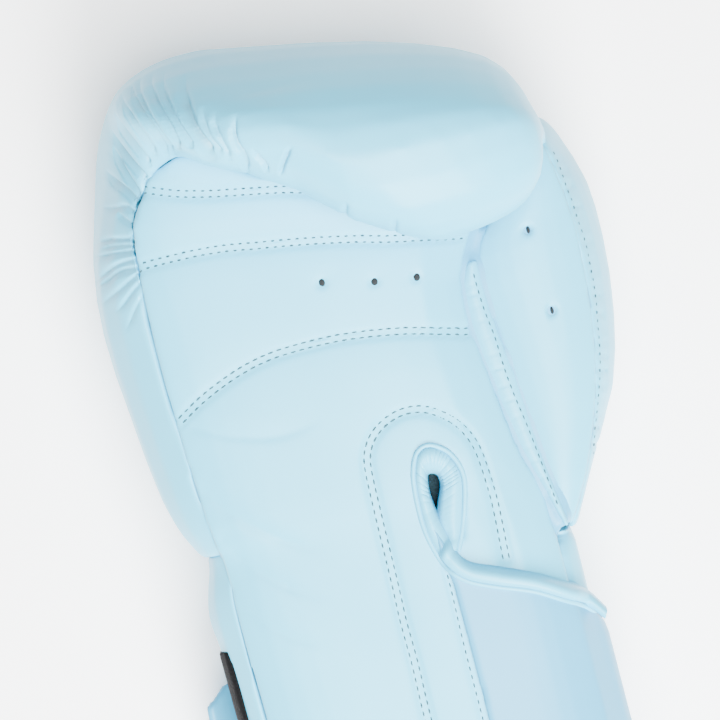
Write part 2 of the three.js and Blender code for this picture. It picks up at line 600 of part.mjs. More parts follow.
function thumbPanelRows() {
  return evenPlaces(THUMB_PANEL_LINES, STRIP_POINTS).map((place) => {
    const row = rowAt(THUMB_PANEL_LINES, place);
    return Array.from({ length: 7 }, (_, i) => {
      const share = i / 6;
      return point({
        x: row.leftX + (row.rightX - row.leftX) * share,
        y: row.leftY + (row.rightY - row.leftY) * share,
        z: row.leftZ + (row.rightZ - row.leftZ) * share + row.crown * (1 - (2 * share - 1) ** 2),
      });
    });
  });
}

function thumbPanel() {
  return cutBy(panelUnder(thumbPanelRows(), THUMB_LEATHER), ventCutters(THUMB_VENTS));
}

// The strap, the pile and the lining of the cuff

// A point on the outside of the padded cuff, lifted off it, at a share of its rib.
function cuffRibPoint(share, y, lift) {
  const rows = CUFF_RIBS.map((rib) => ({ ...rib, at: alongGlove(rib.y) }));
  const rib = rowAt(rows, placeWhere(rows, 'at', y));
  const p = ribPoint(rib, share, -lift, new THREE.Vector3(-lift, 0, 0), new THREE.Vector3(lift, 0, 0));
  return new THREE.Vector3(p.x, y, p.z);
}

// A point on the strap's way: over the palm from its root, then down the thumb side and round the back.
function strapWayPoint(way, y, lift) {
  if (way < STRAP_OVER_PALM) {
    const share = STRAP_ROOT + ((1 - STRAP_ROOT) * way) / STRAP_OVER_PALM;
    const lean = Math.max(0, (share - LEAN_START) / (1 - LEAN_START));
    const up = new THREE.Vector3(lean, 0, 1).normalize();
    return palmPointAt(share, y).addScaledVector(up, lift + lean * STRAP_GAP * 2);
  }
  const beyond = (way - STRAP_OVER_PALM) / (1 - STRAP_OVER_PALM);
  const share = 1 - (1 - STRAP_FREE_END) * beyond;
  const overPile = 1 - Math.min(1, Math.max(0, share - PILE_END) / PILE_RAMP);
  const lifted = Math.max(0, 1 - (share - STRAP_FREE_END) / END_LIFT_REACH);
  return cuffRibPoint(share, y, lift + (LOOP_PILE + GAP) * overPile + STRAP_END_LIFT * lifted ** 2);
}

function strap() {
  const across = 5;
  const lower = alongGlove(STRAP_EDGE[STRAP_EDGE.length - 2].top) - STRAP_WIDTH;
  const skins = [STRAP_GAP + STRAP_THICK, STRAP_GAP].map((lift) => Array.from({ length: STRAP_POINTS + 1 }, (_, i) => {
    const way = i / STRAP_POINTS;
    const top = alongGlove(rowAt(STRAP_EDGE, placeWhere(STRAP_EDGE, 'way', way)).top);
    const rounding = Math.max(0, (way - 1 + END_ROUNDING) / END_ROUNDING);
    const bottom = lower + STRAP_WIDTH * END_NARROWING * rounding ** 2;
    return Array.from({ length: across + 1 }, (_, j) => (
      strapWayPoint(way, top + ((bottom - top) * j) / across, lift)
    ));
  }));
  return solidBetween(...skins);
}

function loopPile() {
  const top = alongGlove(-0.310);
  const skins = [GAP + LOOP_PILE, GAP].map((lift) => Array.from({ length: 9 }, (_, i) => {
    const share = PILE_START + ((PILE_END - PILE_START) * i) / 8;
    return [0, 0.33, 0.67, 1].map((down) => cuffRibPoint(share, top - STRAP_WIDTH * down, lift));
  }));
  return solidBetween(...skins);
}

// A ring round the inside of the cuff, flat-sided like the cuff.
function cuffRing(y, z, halfWidth, halfDepth) {
  const centre = point({ x: CUFF_MIDDLE, y: 0, z });
  return Array.from({ length: RING_POINTS }, (_, i) => {
    const angle = (i / RING_POINTS) * 2 * Math.PI;
    return new THREE.Vector3(
      centre.x + halfWidth * powerOf(Math.cos(angle), CUFF_SQUARENESS),
      y,
      centre.z + halfDepth * powerOf(Math.sin(angle), CUFF_SQUARENESS),
    );
  });
}

const MOUTH_MIDDLE = alongGlove(MOUTH.y) - MOUTH_BINDING_RADIUS - GAP;

// A ring as wide and deep as the mouth's binding along its middle, made larger by grow
function mouthRing(y, grow) {
  return cuffRing(y, MOUTH.z, MOUTH.wide * FIST_WIDTH + grow, MOUTH.deep * FIST_DEPTH + grow);
}

// The lining ends against the inner side of the mouth's binding.
function cuffLining() {
  const rings = (inset) => [
    mouthRing(MOUTH_MIDDLE, -MOUTH_BINDING_RADIUS - GAP - inset),
    ...evenPlaces(LINING_RINGS, 5).map((place) => {
      const ring = rowAt(LINING_RINGS, place);
      return cuffRing(alongGlove(ring.y), ring.z, ring.wide * FIST_WIDTH - inset, ring.deep * FIST_DEPTH - inset);
    }),
  ];
  return solidBetween(rings(0), rings(LINING), true);
}

// A rolled binding that lies against the end of the cuff.
function mouthBinding() {
  const points = Array.from({ length: CORD_SIDES }, (_, i) => {
    const angle = (i / CORD_SIDES) * 2 * Math.PI;
    return mouthRing(MOUTH_MIDDLE + MOUTH_BINDING_RADIUS * Math.sin(angle), MOUTH_BINDING_RADIUS * Math.cos(angle));
  }).flat();
  const faces = gridFaces(CORD_SIDES + 1, RING_POINTS, 0, true);
  return geometryOf(points, faces.map((face) => face.map((k) => k % points.length)));
}

// Assembly

function leather(colour, roughness) {
  return new THREE.MeshStandardMaterial({ color: colour, roughness, metalness: 0 });
}

const group = new THREE.Group();

function add(name, geometry, material) {
  const mesh = new THREE.Mesh(geometry, material);
  mesh.name = name;
  group.add(mesh);
}

const shellPull = new THREE.Vector3(-SEAM_EDGE, 0, 0);
const thumbPull = new THREE.Vector3(-SEAM_EDGE / 2, 0, -SEAM_EDGE / 2);
const lowerPalmSpace = lowerPalmSlab(GAP);
const palmSpace = [...upperPalmSpace(), lowerPalmSpace];
const shellSpace = paddedShell(SHELL_RIBS, PAD, shellPull, GAP);
const thumbSpace = paddedShell(THUMB_RIBS, THUMB_PAD, thumbPull, GAP);
const thumbPanelSpace = panelUnder(thumbPanelRows(), THUMB_LEATHER, GAP);

const handShell = cutBy(paddedShell(SHELL_RIBS, PAD, shellPull), palmSpace);
const thumbBack = cutBy(paddedShell(THUMB_RIBS, THUMB_PAD, thumbPull), [shellSpace, thumbPanelSpace]);
const cuffBack = cutBy(paddedShell(CUFF_RIBS, CUFF_PAD, shellPull), [lowerPalmSpace, thumbSpace]);

add('hand_shell', handShell, leather(LEATHER, SATIN));
add('crescent_panel', palmPanel(CRESCENT_LINES, 2, PANEL_POINTS), leather(LEATHER, SATIN));
add('finger_panel', palmPanel(FINGER_LINES, 2, PANEL_POINTS), leather(LEATHER, SATIN));
add('vent_panel', ventPanel(), leather(LEATHER, SATIN));
add('lower_palm', lowerPalm(), leather(LEATHER, SATIN));
add('slot_panel', slotPanel(), leather(LEATHER, SATIN));
add('slot_binding', slotBinding(), leather(LEATHER_SHADE, SOFT_SATIN));
add('thumb_back', thumbBack, leather(LEATHER, SATIN));
add('thumb_panel', thumbPanel(), leather(LEATHER, SATIN));
add('thumb_strip', thumbStrip(), leather(LEATHER, SATIN));
add('cuff_back', cuffBack, leather(LEATHER, SATIN));
add('strap', strap(), leather(LEATHER_SHADE, SATIN));
add('loop_pile', loopPile(), leather(PILE, FUZZY));
add('cuff_lining', cuffLining(), leather(SLATE, WOVEN));
add('mouth_binding', mouthBinding(), leather(LEATHER_SHADE, SOFT_SATIN));

export default group;
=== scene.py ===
# %% [markdown]
# A Thai-style boxing glove, palm up, for a learner of Blender.
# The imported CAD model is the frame: every piece below is made in that frame, in metres.
# Padded pieces start from the CAD solids, because their size is already right.
# What the solids leave out, such as gathers, piping and thread, is modelled here.

# %% Load the frame
import math
import bpy
import bmesh
import numpy as np
from mathutils import Matrix, Vector
from mathutils.bvhtree import BVHTree


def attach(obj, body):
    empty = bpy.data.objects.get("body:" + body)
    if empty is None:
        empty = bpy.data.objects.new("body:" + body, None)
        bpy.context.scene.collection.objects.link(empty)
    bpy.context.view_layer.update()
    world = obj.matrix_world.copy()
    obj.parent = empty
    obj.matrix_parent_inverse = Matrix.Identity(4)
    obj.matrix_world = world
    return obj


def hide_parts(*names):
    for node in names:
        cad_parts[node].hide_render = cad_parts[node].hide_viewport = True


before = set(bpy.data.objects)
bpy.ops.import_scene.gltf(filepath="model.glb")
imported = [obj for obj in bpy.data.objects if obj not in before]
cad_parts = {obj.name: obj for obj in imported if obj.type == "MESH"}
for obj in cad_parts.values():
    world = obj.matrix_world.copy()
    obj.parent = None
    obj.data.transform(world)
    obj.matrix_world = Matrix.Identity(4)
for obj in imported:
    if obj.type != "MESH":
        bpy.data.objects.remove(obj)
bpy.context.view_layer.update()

MM = 0.001

# %% [markdown]
# The photograph looks straight down on the palm, from far away, with the glove turned 14.5 degrees.
# A long lens keeps the near roll from looking too big beside the far cuff.

# %% Camera over the palm
CAMERA_HEIGHT = 1286 * MM
CAMERA_OVER = (-4 * MM, 30 * MM)
GLOVE_TURN = 14.5
camera_data = bpy.data.cameras.new("camera")
camera_data.lens = 180
camera_data.sensor_width = 36
camera = bpy.data.objects.new("camera", camera_data)
camera.location = (*CAMERA_OVER, CAMERA_HEIGHT)
camera.rotation_euler = (0, 0, math.radians(-GLOVE_TURN))
bpy.context.scene.collection.objects.link(camera)
bpy.context.scene.camera = camera
print("camera at", tuple(camera.location))

# %% [markdown]
# A studio lights pale leather with large soft lamps, so that folds show by soft shade and not by hard shadow.
# One lamp stands at the cuff end, because the photograph shades the front of the fist.
# A wide lamp overhead carries the rest of the light, and a weak one at each side opens the shadows.

# %% Soft studio lamps
LAMPS = (
    # name, place in m, size in m, watts
    ("cuff_lamp", (0.10, -1.10, 1.00), 0.8, 95.0),
    ("overhead_lamp", (0.10, -0.35, 1.80), 1.2, 125.0),
    ("left_lamp", (-1.20, 0.10, 0.60), 0.8, 4.0),
    ("right_lamp", (1.20, -0.20, 0.60), 0.8, 4.0),
)
LAMP_AIM = Vector((0, 0, 60 * MM))
for name, place, size, watts in LAMPS:
    lamp = bpy.data.lights.new(name, "AREA")
    lamp.shape = "DISK"
    lamp.size = size
    lamp.energy = watts
    lamp_object = bpy.data.objects.new(name, lamp)
    lamp_object.location = place
    lamp_object.rotation_euler = (LAMP_AIM - Vector(place)).to_track_quat("-Z", "Y").to_euler()
    bpy.context.scene.collection.objects.link(lamp_object)
print("lamps", len(LAMPS))


# %% [markdown]
# Colours are chosen as sRGB hex, the way a colour picker shows them, and Blender wants them linear.
# One function turns them, and one adds a node with its settings and links.

# %% Colour and node helpers
def linear(hex_colour):
    """An sRGB hex colour as linear red, green, blue and alpha."""
    channels = [int(hex_colour[i:i + 2], 16) / 255 for i in (1, 3, 5)]
    turned = [c / 12.92 if c <= 0.04045 else ((c + 0.055) / 1.055) ** 2.4 for c in channels]
    return (*turned, 1.0)


def add_node(tree, kind, settings=None, **inputs):
    """Adds a node. settings are its attributes; inputs are values or the sockets that feed them."""
    node = tree.nodes.new(kind)
    for key, value in (settings or {}).items():
        setattr(node, key, value)
    for key, value in inputs.items():
        socket = node.inputs[key.replace("_", " ")] if not key.startswith("i") else node.inputs[int(key[1:])]
        if isinstance(value, bpy.types.NodeSocket):
            tree.links.new(value, socket)
        else:
            socket.default_value = value
    return node


def new_material(name):
    """An empty node material and its tree."""
    material = bpy.data.materials.new(name)
    material.use_nodes = True
    material.node_tree.nodes.clear()
    return material, material.node_tree


# %% [markdown]
# The world is the white room round the studio. Even, faintly blue light keeps the shadow sides pale.

# %% Room light
world = bpy.data.worlds.new("white_room")
world.use_nodes = True
world.node_tree.nodes["Background"].inputs["Color"].default_value = linear("#F4FAFF")
world.node_tree.nodes["Background"].inputs["Strength"].default_value = 0.12
bpy.context.scene.world = world

# %% [markdown]
# The glove is synthetic leather: a smooth polyurethane skin on a woven backing, pale ice white.
# A fine pebble grain, pressed in by a roller, breaks the highlights, and the skin has a soft satin gloss.
# The grain is about 0.4 mm across on the real skin, drawn 0.7 mm wide so that it shows at this distance.
# Faint clouds about 45 mm across keep the large panels from looking like paint, and an attribute that the
# pleats write darkens their creases with painted shade.

# %% Leather
CLOUD_SIZE = 45 * MM
# Painted shade: creases are darkened towards this tone, standing in for the shade that falls in the folds.
CREASE_SHADE_TONE = "#6F8D95"


def leather_material(name, colour, shade, roughness=0.38, grain=0.7 * MM, relief=0.05):
    """Polyurethane leather with pebble grain, faint cloudiness and painted shade in the creases."""
    material, tree = new_material(name)
    place = add_node(tree, "ShaderNodeTexCoord").outputs["Object"]
    pebbles = add_node(tree, "ShaderNodeTexVoronoi", {"feature": "SMOOTH_F1"}, Vector=place,
                       Scale=1 / grain, Smoothness=0.6)
    cloud = add_node(tree, "ShaderNodeTexNoise", None, Vector=place, Scale=1 / CLOUD_SIZE, Detail=3.0)
    crease = add_node(tree, "ShaderNodeAttribute", {"attribute_name": "crease"})
    tone = add_node(tree, "ShaderNodeMix", {"data_type": "RGBA"}, Factor=cloud.outputs["Fac"],
                    i6=linear(colour), i7=linear(shade))
    # Painted shade in the creases, as deep as the pleats have marked them.
    crease_shaded = add_node(tree, "ShaderNodeMix", {"data_type": "RGBA"}, Factor=crease.outputs["Fac"],
                      i6=tone.outputs[2], i7=linear(CREASE_SHADE_TONE))
    gloss = add_node(tree, "ShaderNodeMapRange", None, Value=cloud.outputs["Fac"],
                     To_Min=roughness - 0.04, To_Max=roughness + 0.05)
    bump = add_node(tree, "ShaderNodeBump", None, Height=pebbles.outputs["Distance"],
                    Strength=relief, Distance=0.1 * MM)
    skin = add_node(tree, "ShaderNodeBsdfPrincipled", None, Base_Color=crease_shaded.outputs[2],
                    Roughness=gloss.outputs["Result"], Normal=bump.outputs["Normal"],
                    Specular_IOR_Level=0.3)
    add_node(tree, "ShaderNodeOutputMaterial", None, Surface=skin.outputs["BSDF"])
    return material


ice_leather = leather_material("ice_white_synthetic_leather", "#50BAD9", "#48B2D2")
strap_leather = leather_material("strap_synthetic_leather", "#3F9DC3", "#3895BB")
print("leather materials", ice_leather.name, strap_leather.name)


# %% [markdown]
# The lining is a dark woven polyester, seen only through the slot, and the fastening face of the
# back is a black loop pile. Both are rough and give almost no highlight.
# The thread is bonded nylon. Each stitch sits in a shadowed hole, so it is drawn grey-green and not pale: its
# colour is painted shade.

# %% Lining, pile and thread
def plain_cloth(name, colour, shade, cell, roughness=0.85):
    """A matt woven or looped cloth with threads of one cell's width."""
    material, tree = new_material(name)
    place = add_node(tree, "ShaderNodeTexCoord").outputs["Object"]
    threads = add_node(tree, "ShaderNodeTexVoronoi", None, Vector=place, Scale=1 / cell)
    tone = add_node(tree, "ShaderNodeMix", {"data_type": "RGBA"}, Factor=threads.outputs["Distance"],
                    i6=linear(colour), i7=linear(shade))
    bump = add_node(tree, "ShaderNodeBump", None, Height=threads.outputs["Distance"],
                    Strength=0.6, Distance=0.4 * MM)
    cloth = add_node(tree, "ShaderNodeBsdfPrincipled", None, Base_Color=tone.outputs[2],
                     Roughness=roughness, Specular_IOR_Level=0.1, Normal=bump.outputs["Normal"])
    add_node(tree, "ShaderNodeOutputMaterial", None, Surface=cloth.outputs["BSDF"])
    return material


slate_lining = plain_cloth("slate_polyester_lining", "#1A2C33", "#0F1C21", 0.8 * MM)
black_pile = plain_cloth("black_loop_pile", "#0C0D0F", "#030304", 1.1 * MM)
# Painted shade: the pale thread is drawn dark grey-green for the shadowed holes of its stitches.
thread_painted_shade = plain_cloth("bonded_nylon_thread", "#3F5B62", "#2F4A52", 0.3 * MM, roughness=0.5)

# %% [markdown]
# Product photographs with a pure white ground are taken on a light table: a milky acrylic sheet that is
# lit from below. The sheet glows a little of its own, so the glove's own shadow almost goes.

# %% Light table
milky_acrylic, acrylic_tree = new_material("milky_acrylic_light_table")
acrylic_skin = add_node(acrylic_tree, "ShaderNodeBsdfPrincipled", None, Base_Color=linear("#FFFFFF"),
                        Roughness=0.7, Emission_Color=linear("#FFFFFF"), Emission_Strength=0.3)
add_node(acrylic_tree, "ShaderNodeOutputMaterial", None, Surface=acrylic_skin.outputs["BSDF"])
TABLE_HALF_WIDTH = 3.0
table_top = bmesh.new()
bmesh.ops.create_grid(table_top, x_segments=1, y_segments=1, size=TABLE_HALF_WIDTH)
table_mesh = bpy.data.meshes.new("light_table")
table_top.to_mesh(table_mesh)
table_top.free()
table_mesh.materials.append(milky_acrylic)
light_table = bpy.data.objects.new("light_table", table_mesh)
bpy.context.scene.collection.objects.link(light_table)
print("light table", 2 * TABLE_HALF_WIDTH, "m wide")


# %% [markdown]
# Padded pieces start as copies of the CAD solids. A copy is merged, remeshed into even squares
# and smoothed, which rounds its facets and edges as foam rounds the leather over it.

# %% Soft copies of the solids
def link_mesh(mesh, name, material, smooth=True):
    """A new object at the origin that shows this mesh in one material."""
    mesh.materials.clear()
    mesh.materials.append(material)
    if smooth:
        mesh.polygons.foreach_set("use_smooth", [True] * len(mesh.polygons))
    piece = bpy.data.objects.new(name, mesh)
    bpy.context.scene.collection.objects.link(piece)
    return piece


def applied(piece):
    """The piece with its modifiers made part of its mesh."""
    graph = bpy.context.evaluated_depsgraph_get()
    mesh = bpy.data.meshes.new_from_object(piece.evaluated_get(graph))
    old = piece.data
    piece.modifiers.clear()
    piece.data = mesh
    bpy.data.meshes.remove(old)
    return piece


def cad_node(name):
    """The CAD solid of this name."""
    return bpy.data.objects[name] if name in bpy.data.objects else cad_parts[name]


def soft_copy(nodes, name, material, voxel, rounds, swell=0.0):
    """The nodes' solids, swollen a little, joined in one even mesh and smoothed."""
    joined = bmesh.new()
    for node in nodes:
        joined.from_mesh(cad_node(node).data)
    bmesh.ops.remove_doubles(joined, verts=joined.verts, dist=0.01 * MM)
    mesh = bpy.data.meshes.new(name)
    joined.to_mesh(mesh)
    joined.free()
    piece = link_mesh(mesh, name, material)
    if swell:
        fat = piece.modifiers.new("swell", "DISPLACE")
        fat.mid_level = 0
        fat.strength = swell
    net = piece.modifiers.new("net", "REMESH")
    net.mode = "VOXEL"
    net.voxel_size = voxel
    soften = piece.modifiers.new("soften", "SMOOTH")
    soften.factor = 0.5
    soften.iterations = rounds
    applied(piece)
    piece.data.name = name
    piece.data.polygons.foreach_set("use_smooth", [True] * len(piece.data.polygons))
    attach(piece, "root")
    print(name, "faces", len(piece.data.polygons))
    return piece


shell = soft_copy(["hand_shell"], "shell_leather", ice_leather, 1.8 * MM, 6, swell=0.6 * MM)
palm = soft_copy(["crescent_panel", "finger_panel", "vent_panel", "lower_palm", "slot_panel"],
                 "palm_leather", ice_leather, 1.1 * MM, 8, swell=0.65 * MM)
thumb = soft_copy(["thumb_back"], "thumb_leather", ice_leather, 1.4 * MM, 8, swell=0.3 * MM)
thumb_face = soft_copy(["thumb_panel"], "thumb_face_leather", ice_leather, 1.0 * MM, 6, swell=0.5 * MM)
strip = soft_copy(["thumb_strip"], "thumb_strip_leather", ice_leather, 0.7 * MM, 3, swell=0.5 * MM)
cuff = soft_copy(["cuff_back"], "cuff_leather", ice_leather, 1.6 * MM, 8, swell=0.7 * MM)
strap = soft_copy(["strap"], "strap_leather_band", strap_leather, 1.1 * MM, 5)
mouth = soft_copy(["mouth_binding"], "mouth_binding_leather", strap_leather, 1.0 * MM, 4)
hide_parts("hand_shell")
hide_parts("crescent_panel", "finger_panel", "vent_panel", "lower_palm", "slot_panel")
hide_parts("thumb_back")
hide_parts("thumb_panel")
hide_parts("thumb_strip")
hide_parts("cuff_back")
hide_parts("strap")
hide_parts("mouth_binding")

# %% [markdown]
# Under each seam of a real glove lie the turned-in edges of its panels, so that no gap shows through.
# One fat copy of the panels, let down below the leather, stands for all of these edges.

# %% Turned-in edges under the seams
BACKING_SWELL = 1.4 * MM
BACKING_DROP = 1.5 * MM
SEAMED_PANELS = ["crescent_panel", "finger_panel", "vent_panel", "lower_palm", "thumb_panel", "thumb_strip"]
backing = soft_copy(SEAMED_PANELS, "seam_backing", strap_leather, 2.0 * MM, 6, swell=BACKING_SWELL)
for v in backing.data.vertices:
    v.co.z -= BACKING_DROP

# %% [markdown]
# At the wrist the pads of the hand and of the cuff press against each other in a fold, and on the
# little-finger side both pinch in. A few smooth moves of their points do this better than a new shape.

# %% Pinched wrist
CUFF_PUSH = 2.4
CUFF_PUSH_FROM = -34
CUFF_PUSH_OVER = 8
PINCH_PLACE = -24
PINCH_REACH = 9
PINCH_DEPTH = 2.6
PINCH_FROM = 45
PINCH_OVER = 20


def ramp(value, start, over):
    """0 up to start, then rising to 1 over the next stretch."""
    return max(0.0, min(1.0, (value - start) / over))


for v in cuff.data.vertices:
    v.co.y += CUFF_PUSH * MM * ramp(v.co.y / MM, CUFF_PUSH_FROM, CUFF_PUSH_OVER)
for pad in (shell, cuff):
    for v in pad.data.vertices:
        x, y = v.co.x / MM, v.co.y / MM
        near = math.exp(-((y - PINCH_PLACE) / PINCH_REACH) ** 2)
        v.co.x += PINCH_DEPTH * MM * near * ramp(-x, PINCH_FROM, PINCH_OVER)
print("wrist pinched", PINCH_DEPTH, "mm at y", PINCH_PLACE)

# %% [markdown]
# Beside the root of the thumb the cuff's leather rises to the palm and closes the pit between them.

# %% Cuff beside the thumb's root
STEP_LEVELS = (44, 73)
STEP_PLACE = -43
STEP_REACH = 8
STEP_SHARE = 0.9
raised = 0
for v in cuff.data.vertices:
    x, y, z = (c / MM for c in v.co)
    if STEP_LEVELS[0] < z < STEP_LEVELS[1]:
        share = ramp(x, 34, 8) * ramp(-x, -53, 4) * max(0.0, 1 - abs(y - STEP_PLACE) / STEP_REACH)
        v.co.z += (STEP_LEVELS[1] - z) * MM * STEP_SHARE * share
        raised += share > 0
print("cuff points raised", raised)

# %% [markdown]
# The strap closes on a black loop pile that is sewn to the back of the cuff. Its upper edge is stretched
# towards the fold of the wrist, where the photograph shows it past the strap.

# %% Loop pile
PILE_STRETCH = 8
PILE_STRETCH_FROM = -78
PILE_STRETCH_OVER = 15
pile = soft_copy(["loop_pile"], "loop_pile_cloth", black_pile, 1.2 * MM, 2)
for v in pile.data.vertices:
    v.co.y += PILE_STRETCH * MM * ramp(v.co.y / MM, PILE_STRETCH_FROM, PILE_STRETCH_OVER)
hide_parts("loop_pile")

# %% [markdown]
# Seams, gathers and stitch rows all follow lines on the leather, measured from the photograph in mm.
# A smooth curve through the measured points is cut into even steps, and a field gives each point of a
# mesh its distance from the line, its side of it and its share along it.


# %% Lines on the leather
def smooth_line(points, spacing=1.0):
    """Even steps, in mm, on a smooth curve through the points."""
    points = np.array(points, float)
    if len(points) > 2:
        ends = np.vstack([2 * points[0] - points[1], points, 2 * points[-1] - points[-2]])
        fine = []
        for a, b, c, d in zip(ends[:-3], ends[1:-2], ends[2:-1], ends[3:]):
            for t in np.linspace(0, 1, 12, endpoint=False):
                fine.append(0.5 * (2 * b + (c - a) * t + (2 * a - 5 * b + 4 * c - d) * t ** 2
                                   + (3 * b - a - 3 * c + d) * t ** 3))
        points = np.vstack([fine, points[-1:]])
    steps = np.concatenate([[0], np.cumsum(np.linalg.norm(np.diff(points, axis=0), axis=1))])
    count = max(2, int(round(steps[-1] / spacing)) + 1)
    places = np.linspace(0, steps[-1], count)
    return np.column_stack([np.interp(places, steps, points[:, k]) for k in range(points.shape[1])])


def line_field(where, line):
    """Distance in mm, side and share along the line, for flat points in mm."""
    best = np.full(len(where), np.inf)
    side = np.zeros(len(where))
    share = np.zeros(len(where))
    for i, (a, b) in enumerate(zip(line[:-1], line[1:])):
        ab = b - a
        t = np.clip((where - a) @ ab / (ab @ ab), 0, 1)
        gap = where - (a + t[:, None] * ab)
        distance = np.hypot(gap[:, 0], gap[:, 1])
        closer = distance < best
        best[closer] = distance[closer]
        side[closer] = np.sign(ab[0] * gap[:, 1] - ab[1] * gap[:, 0])[closer]
        share[closer] = ((i + t) / (len(line) - 1))[closer]
    return best, side, share


def offset_line(line, offset):
    """The line moved to its left by an offset in mm."""
    along = np.gradient(line[:, :2], axis=0)
    along /= np.linalg.norm(along, axis=1)[:, None]
    moved = line.copy()
    moved[:, 0] -= along[:, 1] * offset
    moved[:, 1] += along[:, 0] * offset
    return moved


def read_points(piece):
    """The piece's points and their normals, in mm."""
    count = len(piece.data.vertices)
    places = np.empty(count * 3)
    normals = np.empty(count * 3)
    piece.data.vertices.foreach_get("co", places)
    piece.data.vertex_normals.foreach_get("vector", normals)
    return places.reshape(-1, 3) / MM, normals.reshape(-1, 3)


def write_points(piece, places):
    """Puts the points back, given in mm."""
    piece.data.vertices.foreach_set("co", (places * MM).ravel())
    piece.data.update()


def paint_crease_shade(piece, amount):
    """Keeps how deep in a crease each point lies, so that painted shade darkens the leather there."""
    layer = piece.data.attributes.get("crease") or piece.data.attributes.new("crease", "FLOAT", "POINT")
    kept = np.empty(len(amount))
    layer.data.foreach_get("value", kept)
    layer.data.foreach_set("value", np.clip(kept + amount, 0, 1))


# %% [markdown]
# The back of the glove is one padded leather piece, eased round the fingertips and sewn to the palm.
# There is more leather on the outside of the curve than the seam can take, so it gathers in pleats.
# Cloth simulation could find such pleats, but not these ones, so each is pressed in where it shows.
# A pleat is a sharp valley that is steep on one side and runs out towards the outside of the fist.

# %% Pleats of the shell
PLEATS = (
    # depth in mm, width in mm, then the valley's line from its outer end to the seam
    (1.5, 1.6, (-46.3, 139.9), (-47.6, 135.8), (-47.2, 130.2), (-44.8, 120.3), (-43.4, 112.8)),
    (1.6, 1.6, (-50.0, 140.3), (-51.9, 136.4), (-51.7, 129.7), (-48.9, 119.1), (-46.3, 112.4)),
    (1.5, 1.6, (-42.4, 138.9), (-43.8, 133.7), (-43.4, 127.6), (-41.4, 118.3), (-39.3, 111.7)),
    (2.4, 2.4, (-35.9, 135.4), (-37.0, 129.2), (-37.0, 122.7), (-36.2, 115.3), (-33.6, 108.0)),
    (1.5, 2.2, (-32.6, 122.6), (-33.3, 117.8), (-32.7, 111.6), (-30.7, 106.7)),
    (1.4, 2.0, (-29.0, 119.5), (-30.1, 115.4), (-29.4, 109.7), (-28.4, 105.0)),
    (2.0, 1.3, (-22.6, 116.7), (-24.6, 111.2), (-24.6, 106.8), (-23.4, 103.2), (-23.5, 99.9)),
    (1.8, 0.9, (-20.6, 104.5), (-19.0, 100.9), (-17.8, 99.0), (-17.5, 97.3)),
    (2.0, 0.9, (-8.0, 102.0), (-10.5, 98.7), (-12.2, 96.4), (-13.1, 95.0)),
    (1.6, 1.6, (-53.9, 140.2), (-54.5, 136.0), (-52.5, 126.7), (-49.5, 117.1), (-48.3, 112.9)),
    (1.7, 1.6, (-58.6, 135.9), (-58.0, 130.8), (-55.0, 121.2), (-52.4, 114.0)),
    (1.7, 1.6, (-62.4, 130.9), (-61.5, 125.7), (-58.5, 118.3), (-55.3, 111.4)),
    (1.8, 1.6, (-65.4, 126.7), (-64.4, 120.9), (-61.0, 112.9), (-57.7, 106.6)),
    (1.7, 1.6, (-66.7, 122.6), (-65.6, 116.3), (-63.3, 108.0), (-61.1, 101.9)),
    (1.8, 1.6, (-71.6, 114.5), (-69.0, 109.5), (-65.3, 104.7), (-62.2, 99.5)),
    (1.2, 1.6, (-76.3, 102.6), (-71.4, 100.2), (-67.2, 99.7), (-64.2, 96.1)),
    (1.1, 1.5, (-71.0, 99.6), (-68.7, 95.7), (-65.7, 92.7)),
    (1.5, 1.5, (-82.1, 91.2), (-76.1, 90.7), (-72.0, 89.4), (-67.6, 88.2)),
    (1.2, 1.4, (-80.5, 88.3), (-75.6, 88.1), (-68.1, 86.4)),
    (1.4, 1.5, (-83.6, 86.6), (-75.2, 85.5), (-68.6, 84.4)),
    (1.4, 1.6, (-85.6, 78.0), (-78.7, 80.6), (-74.0, 81.6), (-69.6, 81.6)),
    (1.4, 1.6, (-85.0, 76.0), (-80.0, 77.7), (-75.2, 79.2), (-69.8, 78.9)),
    (1.0, 1.5, (-84.7, 70.3), (-78.0, 72.6), (-73.5, 74.6), (-69.4, 76.3)),
    (0.9, 1.5, (-80.0, 65.7), (-76.5, 68.2), (-72.8, 71.0), (-69.6, 73.0)),
    (0.6, 1.5, (-78.0, 58.7), (-75.5, 62.2), (-72.8, 65.5), (-69.8, 68.5)),
    (1.1, 1.2, (4.6, 80.4), (3.8, 78.4), (3.0, 76.0)),
    (1.1, 1.2, (18.8, 71.4), (18.2, 69.4), (17.4, 67.0)),
)
PLEAT_FLOOR = 44
print("pleats", len(PLEATS))

# %% [markdown]
# The squares near a pleat are halved first, so that the fold has points to follow. Points that face
# down are left alone, because a line seen from above would press the underside too.

# %% Pressing a pleat
SURFACE_TURN = 0.3
STEEP_SIDE = 0.35
GENTLE_SIDE = 0.9
RUN_OUT = 0.35
CREST = 0.15
# How deep a fold must be before painted shade darkens it, the most depth that counts, and how dark it gets.
CREASE_FROM = 0.6
CREASE_MOST = 1.6
CREASE_DARK = 0.3


def refine(piece, lines, reach, low):
    """Halves the squares of a piece near the lines, so that sharp folds have points to follow."""
    places, normals = read_points(piece)
    near = np.full(len(places), np.inf)
    for line in lines:
        near = np.minimum(near, line_field(places[:, :2], line)[0])
    chosen = (near < reach) & (places[:, 2] > low) & (normals[:, 2] > -SURFACE_TURN)
    fine = bmesh.new()
    fine.from_mesh(piece.data)
    fine.verts.ensure_lookup_table()
    edges = [e for e in fine.edges if chosen[e.verts[0].index] and chosen[e.verts[1].index]]
    bmesh.ops.subdivide_edges(fine, edges=edges, cuts=1, use_grid_fill=True)
    fine.to_mesh(piece.data)
    fine.free()
    piece.data.polygons.foreach_set("use_smooth", [True] * len(piece.data.polygons))


